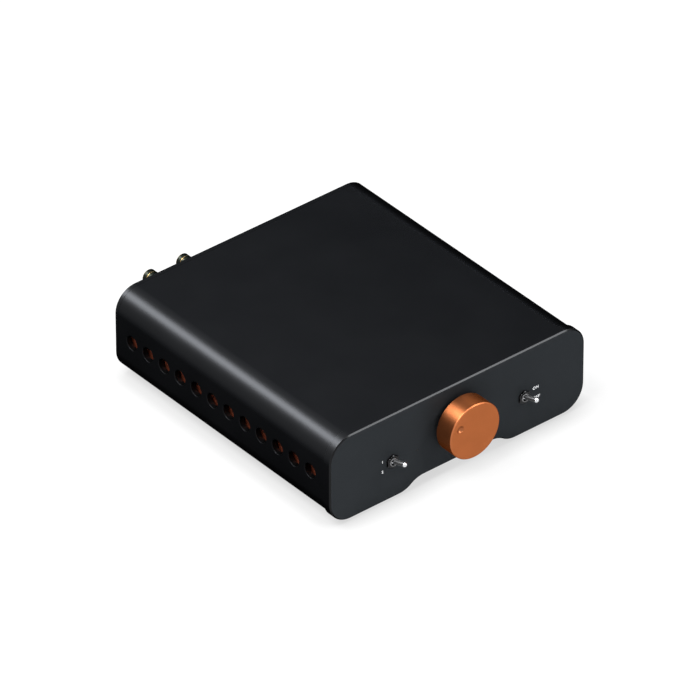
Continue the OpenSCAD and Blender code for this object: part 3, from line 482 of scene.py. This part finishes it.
black_zinc = finish("black_zinc", (0.030, 0.030, 0.032), rough=0.32, metal=0.6, gloss=0.4, patches=0.2,
                    patch=2, grain=0.12)
screw_r, screw_len, point_r, point_len = 1.5, 7.0, 1.1, 0.4
head_r, head_h = 2.75, 1.7
head_dome = ((0, 0.05), (0.1, 0), (0.765, 0.12), (1.36, 0.6), (head_h, 1.2))
socket_across, socket_r, socket_depth = 2.0, 1.0, 1.0
socket_edge, socket_edge_r, socket_point = 0.1, 1.2, 0.2
# Where a section turns six-sided, as a share of its width, and a radius outside any flats
corner_share, past_corners = 0.58, 9


def six_sided(across):
    """A section cut to six flats."""
    return lambda a, radius, along: min(radius, across / 2 / cos((a + pi / 6) % (pi / 3) - pi / 6))


def socket_section(a, radius, along):
    """Round outside a screw's socket, and six-sided within it."""
    if radius > socket_across * corner_share:
        return radius
    return six_sided(socket_across)(a, past_corners, along)


screw_profile = ([(-screw_len, 0), (-screw_len, point_r), (-screw_len + point_len, screw_r), (0, screw_r)]
                 + [(up, head_r - drawn_in) for up, drawn_in in head_dome]
                 + [(head_h, socket_edge_r), (head_h - socket_edge, socket_r),
                    (head_h - socket_depth, socket_r), (head_h - socket_depth - socket_point, 0)])
screws = bmesh.new()
for x, z in screw_places:
    turned(screws, screw_profile, (x, case_depth, z), sides=48, section=socket_section)
fit(as_object("rear_screws", screws), black_zinc, "case", "black_screws", "rear_panel_screws")

post_mark_z, post_mark_h = 33.6, 2.2
for number, x, sign in zip((1, 2, 3, 4), post_xs, "-+-+"):
    mark(f"post_mark_{number}", sign, x, case_depth - mark_lift, post_mark_z, post_mark_h, facing_back=True)


# Feet. Four soft rubber discs, moulded with a rounded rim and pressed into the seats
# under the sleeve's rails.
foot_out, foot_round, round_steps = 1.2, 0.6, 4
rubber = finish("rubber", (0.018, 0.018, 0.018), rough=0.8, gloss=0.25, patches=0.15, patch=3, grain=0.3,
                relief=0.02)
foot_turns = [pi / 2 * k / round_steps for k in range(1, round_steps + 1)]
foot_rim = [(-foot_out + foot_round * (1 - cos(t)), foot_r - foot_round + foot_round * sin(t))
            for t in foot_turns]
foot_profile = ([(-foot_out, 0), (-foot_out, foot_r - foot_round)] + foot_rim
                + [(lip + foot_seat, foot_r), (lip + foot_seat, 0)])
feet = bmesh.new()
for side in (-1, 1):
    for y in foot_ys:
        turned(feet, foot_profile, (side * foot_x, y, 0), upright)
fit(as_object("rubber_pads", feet), rubber, "case", "rubber", "rubber_feet")


# Tray and heatsinks. The tray is bare sheet, and carries the main board on brass
# standoffs. The heatsinks are orange anodised extrusions behind the vents, screwed
# to the board, with the power transistors against them.
def dress(made, *names):
    """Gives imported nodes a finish."""
    for name in names:
        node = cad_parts[name].data
        node.materials.clear()
        node.materials.append(made)


bare_sheet = finish("bare_sheet", (0.62, 0.63, 0.65), rough=0.38, metal=1.0, patches=0.05, patch=14,
                    streaks=(1, 0.08, 1), grain=0.3)
orange_extrusion = finish("orange_extrusion", (0.28, 0.068, 0.034), rough=0.28, metal=0.75, patches=0.06,
                          patch=10, streaks=(1, 0.1, 1))
moulding = finish("black_moulding", (0.020, 0.020, 0.021), rough=0.5, gloss=0.4, patches=0.1, patch=5,
                  grain=0.2, relief=0.01)
plated = finish("plated_steel", (0.60, 0.60, 0.62), rough=0.28, metal=1.0, patches=0.06, patch=2, grain=0.2)
brass = finish("brass", (0.78, 0.58, 0.28), rough=0.3, metal=1.0, patches=0.08, patch=2)
dress(bare_sheet, "chassis_tray")
dress(orange_extrusion, "left_heatsink", "right_heatsink")
dress(moulding, "left_power_transistors", "right_power_transistors")
dress(plated, "front_panel_screws", "heatsink_screws", "board_screws")
dress(brass, "board_standoffs")


# Boards. Green circuit boards with copper tracks under the mask, and the parts that
# are soldered to them: capacitors in dark sleeves, wound inductors, relays and chips.
track_cell, track_gap = 15.6, 0.03
mask_tone, track_tone = (0.012, 0.080, 0.032), (0.03, 0.16, 0.06, 1)


def board_mask():
    """A green mask, lighter where tracks run beneath it."""
    made = finish("green_board", mask_tone, rough=0.35, gloss=0.5, patches=0.1, patch=4, grain=0.15)
    nodes, links = made.node_tree.nodes, made.node_tree.links
    shader = nodes["Principled BSDF"]
    tones = shader.inputs["Base Color"].links[0].from_socket
    place = nodes.new("ShaderNodeTexCoord")
    tracks = nodes.new("ShaderNodeTexBrick")
    tracks.inputs["Scale"].default_value = 1 / (track_cell * mm)
    tracks.inputs["Mortar Size"].default_value = track_gap
    links.new(place.outputs["Object"], tracks.inputs["Vector"])
    over = nodes.new("ShaderNodeMix")
    over.data_type = "RGBA"
    links.new(tracks.outputs["Fac"], over.inputs["Factor"])
    links.new(tones, over.inputs["A"])
    over.inputs["B"].default_value = track_tone
    links.new(over.outputs["Result"], shader.inputs["Base Color"])
    return made


dark_sleeve = finish("dark_sleeve", (0.02, 0.03, 0.09), rough=0.3, patches=0.15, patch=6)
wound_copper = finish("wound_copper", (0.45, 0.20, 0.08), rough=0.35, metal=0.9, patches=0.3, patch=1,
                      streaks=(0.2, 0.2, 3))
red_dip = finish("red_dip", (0.35, 0.02, 0.02), rough=0.3, patches=0.1, patch=4)
dress(board_mask(), "main_board", "control_board")
dress(dark_sleeve, "supply_capacitors")
dress(wound_copper, "output_inductors")
dress(red_dip, "film_capacitors")
dress(moulding, "speaker_relays", "modulator_chips", "link_header")


# Volume control. A turned aluminium knob, blasted and anodised copper orange, with a
# dimple for a pointer. It grips the shaft of a control whose bushing, washer and nut
# clamp the front panel.
knob_face, knob_back, knob_r, knob_chamfer, knob_back_chamfer = -13.2, -1.8, 16.2, 0.5, 0.5
# Small steps that round the two edges of the knob's chamfer
rim_hold, rim_roll, rim_soft, side_soft, side_drop = 0.4, 0.06, 0.03, 0.05, 0.04
recess_r, recess_y, shaft_hole, shaft_in = 7.73, -4.6, 3.05, 2.0
dimple_r, dimple_depth, dimple_at, dimple_angle = 2.1, 1.2, 11.1, radians(151.5)
dimple_x, dimple_z = dimple_at * cos(dimple_angle), knob_z + dimple_at * sin(dimple_angle)
dimple_skin, dimple_spare = 0.002, 0.01
orange_anodised = dyed("orange_anodised", (0.398, 0.127, 0.048), rough=0.42, metal=0.92, patches=0.04,
                       patch=7, grain=0.25, relief=0.012)
# The turned side is dyed far darker than the face: painted shade, which keeps the side dark round its
# highlight.
painted_shade_turned_side = dyed("painted_shade_turned_side", (0.175, 0.056, 0.0205), rough=0.50, patches=0.03, patch=5, grain=0.15,
                   streaks=(1, 8, 1), relief=0.006)
# The dimple is dyed a little darker than the face: painted shade in its hollow.
painted_shade_dimple = dyed("painted_shade_dimple", (0.34, 0.112, 0.044), rough=0.40, patches=0.03, patch=2, grain=0.15,
                  relief=0.002)


def turn_marked(made, lathe_axis):
    """Fine tool marks round a turned piece spread its reflections along its axis."""
    spread = 0.8
    shader = made.node_tree.nodes["Principled BSDF"]
    shader.inputs["Anisotropic"].default_value = spread
    axis = made.node_tree.nodes.new("ShaderNodeCombineXYZ")
    for letter, value in zip("XYZ", lathe_axis):
        axis.inputs[letter].default_value = value
    made.node_tree.links.new(axis.outputs["Vector"], shader.inputs["Tangent"])


def in_dimple(face, middle):
    """True for the faces of the pointer dimple."""
    off_axis = hypot(middle.x - dimple_x, middle.z - dimple_z)
    return off_axis < dimple_r and dimple_skin < middle.y - knob_face < dimple_depth + dimple_spare


turn_marked(painted_shade_turned_side, (0, 1, 0))
knob_len, rim_r = knob_back - knob_face, knob_r - knob_chamfer
knob_profile = [(0, 0), (0, rim_r - rim_hold), (0, rim_r - rim_roll), (rim_soft, rim_r + rim_soft),
                (knob_chamfer - side_soft, knob_r - side_drop), (knob_chamfer + rim_roll, knob_r),
                (knob_chamfer + rim_hold, knob_r), (knob_len - knob_back_chamfer, knob_r),
                (knob_len, knob_r - knob_back_chamfer), (knob_len, recess_r),
                (recess_y - knob_face, recess_r), (recess_y - knob_face, shaft_hole),
                (shaft_in, shaft_hole), (shaft_in, 0)]
knob = as_object("volume_dial", turned(bmesh.new(), knob_profile, (0, knob_face, knob_z), sides=128))
ball_r = (dimple_r ** 2 + dimple_depth ** 2) / (2 * dimple_depth)
ball = bmesh.new()
bmesh.ops.create_uvsphere(ball, u_segments=64, v_segments=32, radius=ball_r)
ball.transform(Matrix.Translation(Vector((dimple_x, knob_face - ball_r + dimple_depth, dimple_z))))
fit(drilled(knob, ball), orange_anodised, "volume_control", "orange_anodised", "volume_knob")
recoat(knob, painted_shade_turned_side, lambda face, middle: (
    face.normal.y > -slanted and face.area > (least_facet * mm) ** 2))
recoat(knob, painted_shade_dimple, in_dimple)
dress(plated, "volume_shaft", "knob_set_screw", "volume_control_body", "volume_washer", "volume_nut")


# Toggle switches. Miniature chromed bat levers in threaded bushings, each held to
# the panel by a six-sided nut, with a moulded body behind it. Both levers are up.
pivot_y, lever_tilt, lever_len = 0.5, radians(-18), 10.6
tip_r, bar_r, neck_r, pivot_r, pin_r, pin_half, tail = 1.35, 1.25, 0.75, 1.7, 0.5, 2.12, 2.8
neck_past, bar_past, tip_taper, tip_bare = 0.3, 1.2, 0.6, 0.2
bushing_r, bushing_bore, bushing_out, bushing_edge = 2.45, 1.8, 1.7, 0.25
thread_pitch, thread_depth, thread_start, thread_fit = 0.4, 0.12, 0.15, 0.02
nut_across, nut_t, nut_ease, nut_rim, nut_edge = 7.0, 1.1, 0.05, 0.3, 0.25
nut_face, nut_foot = 0.4, 0.12
switch_front, switch_back, switch_w, switch_h = 7.0, 16.8, 7.0, 12.7
collar_r, collar_in, block_edge = 3.45, 0.1, 0.3
to_right = Matrix.Rotation(radians(90), 4, "Y")
neck_end, bar_start = bushing_out + pivot_y + neck_past, bushing_out + pivot_y + bar_past
chrome = finish("chrome", (0.70, 0.71, 0.73), rough=0.16, metal=1.0, patches=0.03, patch=2, grain=0.5,
                relief=0.002, rough_change=0.02)
# The bars are chrome dyed far darker than the tips: painted shade, for the black body under the light line
# along each bar.
painted_shade_turned_chrome = finish("painted_shade_turned_chrome", (0.15, 0.152, 0.156), rough=0.46, metal=1.0, patches=0.03, patch=2,
                       grain=0.5, relief=0.001, rough_change=0.02)
turn_marked(painted_shade_turned_chrome, (0, -cos(lever_tilt), -sin(lever_tilt)))
# The nuts are drawn nearly black and the bushings dark, though both are chrome: painted shade round the
# levers' roots.
painted_shade_nut_nickel = finish("painted_shade_nut_nickel", (0.022, 0.022, 0.023), rough=0.22, metal=1.0, patches=0.08, patch=1.5,
                     grain=0.2, relief=0.002)
painted_shade_bushing_nickel = finish("painted_shade_bushing_nickel", (0.16, 0.16, 0.165), rough=0.2, metal=1.0, patches=0.08, patch=1.5,
                       grain=0.2, relief=0.002)


def bat_profile():
    """A lever from its tail to its tip: a ball at the pivot, a thin neck, a thick bar and a round end."""
    ball = [(-pivot_r * cos(t), pivot_r * sin(t)) for t in (pi * k / 24 for k in range(4, 21))]
    bar = [(neck_end, neck_r), (bar_start, bar_r), (lever_len - tip_taper, bar_r), (lever_len, tip_r)]
    end = [(lever_len + tip_r * sin(t), tip_r * cos(t)) for t in (pi * k / 20 for k in range(1, 10))]
    return [(-tail, 0), (-tail, neck_r)] + ball + bar + end + [(lever_len + tip_r, 0)]


def bushing_profile():
    """A bushing from its mouth to the switch's body, threaded as far as the nut."""
    y = -bushing_out + thread_start
    threads = [(-bushing_out, bushing_bore), (-bushing_out, bushing_r - bushing_edge),
               (y, bushing_r - thread_depth)]
    while y < -nut_t:
        threads += [(y + thread_pitch / 2, bushing_r), (y + thread_pitch, bushing_r - thread_depth)]
        y += thread_pitch
    return threads + [(-nut_t + nut_face, bushing_r - thread_fit),
                      (switch_front + collar_in, bushing_r - thread_fit),
                      (switch_front + collar_in, bushing_bore)]


def on_bar(face, middle):
    """True for the faces of a lever's bar, between its bushing and its tip."""
    return bushing_out < -middle.y < (lever_len - tip_bare) * cos(lever_tilt) - pivot_y


flat_r = nut_across / 2
nut_profile = [(-nut_t, bushing_r), (-nut_t, flat_r - nut_ease), (-nut_t + nut_edge, flat_r + nut_rim),
               (-nut_t + nut_face, past_corners), (-nut_foot, past_corners), (0, flat_r + nut_rim),
               (0, bushing_r)]
for name, x, body in (("input", -switch_x, "input_lever"), ("power", switch_x, "power_lever")):
    nut = turned(bmesh.new(), nut_profile, (x, 0, switch_z), sides=72, section=six_sided(nut_across),
                 joined=True)
    fit(as_object(name + "_nut", nut), painted_shade_nut_nickel, "case", "chrome", name + "_switch_nut")

    bushing = turned(bmesh.new(), bushing_profile(), (x, 0, switch_z), sides=48, joined=True)
    fit(as_object(name + "_bushing", bushing), painted_shade_bushing_nickel, "case", "chrome")

    lever = bmesh.new()
    lean = Matrix.Rotation(lever_tilt, 4, "X") @ Matrix.Rotation(radians(90), 4, "X")
    turned(lever, bat_profile(), (x, pivot_y, switch_z), lean, sides=48)
    turned(lever, [(-pin_half, 0), (-pin_half, pin_r), (pin_half, pin_r), (pin_half, 0)],
           (x, pivot_y, switch_z), to_right, sides=24)
    bat = as_object(name + "_bat", lever, crease=40)
    fit(bat, chrome, body, "chrome", name + "_switch_lever")
    recoat(bat, painted_shade_turned_chrome, on_bar)

    block = bmesh.new()
    block_place = Matrix.Translation(Vector((x, (switch_front + switch_back) / 2, switch_z)))
    block_size = Matrix.Diagonal((switch_w, switch_back - switch_front, switch_h, 1))
    bmesh.ops.create_cube(block, size=1, matrix=block_place @ block_size)
    bmesh.ops.bevel(block, geom=block.edges[:], offset=block_edge, segments=2, affect="EDGES")
    turned(block, [(panel_t, bushing_r), (panel_t, collar_r), (switch_front, collar_r),
                   (switch_front, bushing_r)], (x, 0, switch_z), sides=48, joined=True)
    fit(as_object(name + "_switch_case", block), moulding, "case", "black_plastic", name + "_switch_body")


# Status light. A clear plastic rod carries a small lamp's light to a pin hole in the
# panel. The lamp stands on its leads in front of the control board.
# The rod is drawn near black and opaque, though it is clear: painted shade, so that the pin hole reads
# dark.
painted_shade_light_rod = finish("painted_shade_light_rod", (0.012, 0.012, 0.012), rough=0.5, gloss=0.1, patches=0.1, patch=0.5)
lamp_lens = finish("lamp_lens", (0.55, 0.10, 0.03), rough=0.25, patches=0.1, patch=1)
dress(painted_shade_light_rod, "light_pipe")
dress(lamp_lens, "status_lamp")


# Phono sockets. Two gold shells in one black moulding, drawn black outside as a painted dark reflection and
# gold at the mouth, inside and on the grooves' floors, with a white and a red insulator round the contacts.
shell_r, shell_wall, root_r, root_y, seat_y, shell_end = 4.15, 0.8, 3.8, 160.7, 174.0, 184.7
shell_bore = shell_r - shell_wall
groove_ys, groove_slope, groove_floor, groove_depth = (176.8, 179.2, 181.6), 0.12, 0.18, 0.16
seat_edge, mouth_edge, mouth_round, mouth_roll, mouth_bevel = 0.1, 0.3, 0.32, 0.06, 0.12
# Where the gold shows: just outside the bore, behind the mouth, and at the depth of the grooves' floors
gold_skin, gold_mouth, groove_gold = 0.05, 0.31, (0.15, 0.165)
gold = finish("gold_plate", (0.50, 0.34, 0.13), rough=0.34, metal=1.0, patches=0.05, patch=3, grain=0.4,
              relief=0.003)
painted_reflection_shell_black = dyed("painted_reflection_shell_black", (0.016, 0.018, 0.015), rough=0.36, patches=0.1, patch=2, grain=0.3)
white_nylon = finish("white_nylon", (0.72, 0.72, 0.70), rough=0.45, gloss=0.4, patches=0.05, patch=3)
red_nylon = finish("red_nylon", (0.50, 0.02, 0.02), rough=0.4, gloss=0.4, patches=0.08, patch=3)


def shell_profile():
    """A shell from its root in the moulding to its rounded mouth, with three grooves round it."""
    profile = [(root_y, shell_bore), (root_y, root_r), (seat_y, root_r),
               (seat_y, shell_r - seat_edge), (seat_y + seat_edge, shell_r)]
    floor_r = shell_r - groove_depth
    for y in groove_ys:
        profile += [(y, shell_r), (y + groove_slope, floor_r), (y + groove_slope + groove_floor, floor_r),
                    (y + 2 * groove_slope + groove_floor, shell_r)]
    return profile + [(shell_end - mouth_edge, shell_r),
                      (shell_end - mouth_roll, shell_r - mouth_round / 2),
                      (shell_end, shell_r - mouth_round),
                      (shell_end, shell_bore + mouth_bevel),
                      (shell_end - mouth_bevel, shell_bore)]


def gilded(axis_x):
    """Chooses a shell's faces inside it, at its mouth and on its grooves' floors."""
    def chosen(face, middle):
        off_axis = hypot(middle.x - axis_x, middle.z - phono_z)
        return (off_axis < shell_bore + gold_skin or middle.y > shell_end - gold_mouth
                or groove_gold[0] < shell_r - off_axis < groove_gold[1])
    return chosen


for name, x in zip(("left", "right"), phono_xs):
    shell = turned(bmesh.new(), shell_profile(), (x, 0, phono_z), sides=72, joined=True)
    shell = as_object(name + "_shell", shell)
    fit(shell, painted_reflection_shell_black, "case", "gold", name + "_phono_shell")
    recoat(shell, gold, gilded(x))
dress(gold, "phono_contacts")
dress(white_nylon, "left_phono_insulator")
dress(red_nylon, "right_phono_insulator")
dress(moulding, "phono_block")


# Line socket and power inlet. Black mouldings that pass through the rear panel, one
# with a plated ring nut and the other with a steel pin.
dress(moulding, "line_socket", "power_inlet")
dress(plated, "line_socket_nut", "power_inlet_pin")


# Speaker terminals. Gold-plated studs through insulating collars, with clamping
# washers and fluted caps: black for minus, red for plus.
red_cap = finish("red_cap", (0.42, 0.012, 0.014), rough=0.3, gloss=0.5, patches=0.06, patch=4)
dress(gold, "terminal_studs", "terminal_washer_1", "terminal_washer_2", "terminal_washer_3",
      "terminal_washer_4")
dress(brass, "terminal_tags")
dress(plated, "terminal_nuts")
dress(moulding, "terminal_insulators", "terminal_cap_1", "terminal_cap_3")
dress(red_cap, "terminal_cap_2", "terminal_cap_4")
